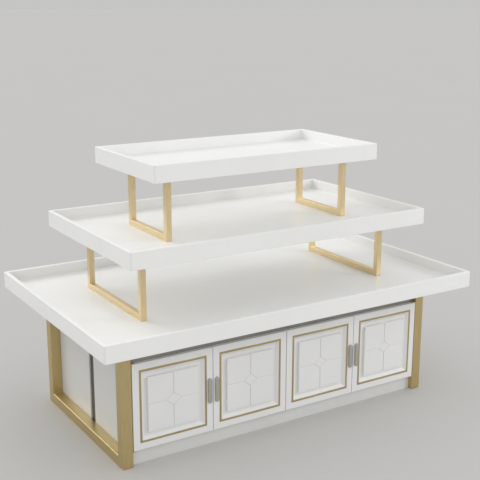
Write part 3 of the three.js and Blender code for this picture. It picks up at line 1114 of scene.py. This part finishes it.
# %% Catches
CATCH_ARRIS = 1.2 * MM
MAGNET_HALF_LENGTH = 9 * MM
MAGNET_HALF_HEIGHT = 4 * MM
MAGNET_SINK = 0.6 * MM
CATCH_SCREW_SPREAD = 23 * MM


def make_catch(node):
    """One double catch, with a magnet for each strike that it meets."""
    low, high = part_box(node)
    middle = (low + high) / 2
    bm = bmesh.new()
    add_block(bm, low, high)
    ease(bm, CATCH_ARRIS)
    outlines = []
    for door in HINGE_PINS:
        strike_low, strike_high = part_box(f"{door}_strike")
        place = Vector(((strike_low.x + strike_high.x) / 2, low.y, middle.z))
        if low.x < place.x < high.x:
            outlines.append(box_outline(bm, place, MAGNET_HALF_LENGTH, MAGNET_HALF_HEIGHT, STANDING))
    front = face_under(bm, Vector((middle.x, low.y, middle.z)), FRONT)
    for magnet in push_outlines(bm, front, (0, MAGNET_SINK, 0), *outlines):
        magnet.material_index = 1
    screws = [Vector((middle.x + side * CATCH_SCREW_SPREAD, middle.y, low.z)) for side in (-1, 1)]
    sink_screws(bm, screws, DOWN, FLAT, finish=1)
    make_piece(f"{node}_body", bm, [CATCH_GREY, ZINC], "table", "catch_plastic", node)


for end in ("left", "right"):
    make_catch(f"magnetic_catch_{end}")

# %% [markdown]
# ## Floor
# The table stands on a plain pale floor, as in a photographer's studio. The floor could be a curved
# backdrop, but a flat sheet large enough to fade into the far light shows no edge from any side. It is no
# part of the table.

# %% Floor
FLOOR_REACH = 200
FLOOR_SHEEN = 0.1
FLOOR_GLOSS = (0.8, 0.9)
FLOOR_TINT_SCALE = 0.6
FLOOR_WEAR_SCALE = 2


def floor_paint(name, dark, light):
    """Flat floor paint between two greys."""
    material, tree, shader = new_finish(name, Specular_IOR_Level=FLOOR_SHEEN)
    colour_drift(tree, shader, noise(tree, FLOOR_TINT_SCALE), dark, light)
    gloss_drift(tree, shader, noise(tree, FLOOR_WEAR_SCALE), *FLOOR_GLOSS)
    return material


FLOOR_PAINT = floor_paint("studio_floor_paint", linear(222, 221, 219), linear(223, 222, 220))
floor_mesh = bpy.data.meshes.new("studio_floor")
bm = bmesh.new()
bmesh.ops.create_grid(bm, x_segments=1, y_segments=1, size=FLOOR_REACH)
bm.to_mesh(floor_mesh)
bm.free()
studio_floor = bpy.data.objects.new("studio_floor", floor_mesh)
bpy.context.scene.collection.objects.link(studio_floor)
floor_mesh.materials.append(FLOOR_PAINT)
print("floor", len(floor_mesh.polygons), "face")

# %% [markdown]
# ## Light
# A soft dome lights the table from all round. It is dimmer at the horizon, where it matches the far
# floor, so that no line shows between them. A sky texture would tint the whites, so the dome is plain
# white.

# %% Dome
HORIZON_LIGHT = 0.56
SKY_LIGHT = 0.78
SKY_HEIGHT = 0.35
PLAIN_WHITE = (1, 1, 1, 1)
world = bpy.data.worlds.new("studio_dome")
bpy.context.scene.world = world
world.use_nodes = True
tree = world.node_tree
dome = tree.nodes["Background"]
dome.inputs["Color"].default_value = PLAIN_WHITE
direction = tree.nodes.new("ShaderNodeTexCoord")
height = tree.nodes.new("ShaderNodeSeparateXYZ")
strength = tree.nodes.new("ShaderNodeMapRange")
strength.inputs["From Max"].default_value = SKY_HEIGHT
strength.inputs["To Min"].default_value = HORIZON_LIGHT
strength.inputs["To Max"].default_value = SKY_LIGHT
tree.links.new(direction.outputs["Generated"], height.inputs["Vector"])
tree.links.new(height.outputs["Z"], strength.inputs["Value"])
tree.links.new(strength.outputs["Result"], dome.inputs["Strength"])
print("dome", HORIZON_LIGHT, "to", SKY_LIGHT)

# %% [markdown]
# Three square lamps shape the table: a small key from the front right draws the milling of the doors, a
# broad fill from the front left opens their shadows, and a large lamp behind lights the tray floors. They
# would also draw bright patches on the floor, which would then stand out from the dome, so light linking
# keeps them off it.

# %% Lamps
AIM_HEIGHT = 0.6
lit_by_dome = bpy.data.collections.new("lit_by_dome_alone")
lit_by_dome.objects.link(studio_floor)
lit_by_dome.collection_objects[0].light_linking.link_state = "EXCLUDE"


def add_softbox(name, azimuth, elevation, distance, size, power):
    """A square lamp, `azimuth` degrees to the right of the table's front, that looks at its middle."""
    lamp = bpy.data.lights.new(name, "AREA")
    lamp.shape = "SQUARE"
    lamp.size = size
    lamp.energy = power
    holder = bpy.data.objects.new(name, lamp)
    bpy.context.scene.collection.objects.link(holder)
    turn = Matrix.Rotation(math.radians(azimuth), 4, "Z")
    tilt = Matrix.Rotation(math.radians(90 - elevation), 4, "X")
    aim = Matrix.Translation((0, 0, AIM_HEIGHT))
    holder.matrix_world = aim @ turn @ tilt @ Matrix.Translation((0, 0, distance))
    holder.light_linking.receiver_collection = lit_by_dome
    print(name, power, "W")


add_softbox("key_softbox", azimuth=50, elevation=18, distance=6, size=1.2, power=68)
add_softbox("front_softbox", azimuth=-35, elevation=14, distance=6, size=3.0, power=26)
add_softbox("back_softbox", azimuth=208, elevation=34, distance=9, size=4.5, power=290)

# %% [markdown]
# ## Camera
# The camera stands off the front left corner, higher than the top tray, and looks slightly down. Its
# place, turn and lens could be tried by eye. They were worked out from the corners of the trays and of
# the base instead, so the view has the photograph's perspective.

# %% Camera
CAMERA_PLACE = (-2.1295, -3.4173, 1.7777)
CAMERA_TURN = -32.073
CAMERA_TILT = 14.444
CAMERA_ROLL = 0.125
CAMERA_LENS = 69.61
CAMERA_SENSOR = 36
camera_data = bpy.data.cameras.new("photo_camera")
camera_data.sensor_width = CAMERA_SENSOR
camera_data.lens = CAMERA_LENS
camera = bpy.data.objects.new("photo_camera", camera_data)
bpy.context.scene.collection.objects.link(camera)
turn = Matrix.Rotation(math.radians(CAMERA_TURN), 4, "Z")
tilt = Matrix.Rotation(math.radians(90 - CAMERA_TILT), 4, "X")
roll = Matrix.Rotation(math.radians(CAMERA_ROLL), 4, "Z")
camera.matrix_world = Matrix.Translation(CAMERA_PLACE) @ turn @ tilt @ roll
bpy.context.scene.camera = camera
bpy.context.scene.view_settings.view_transform = "Standard"
print("camera at", CAMERA_PLACE)
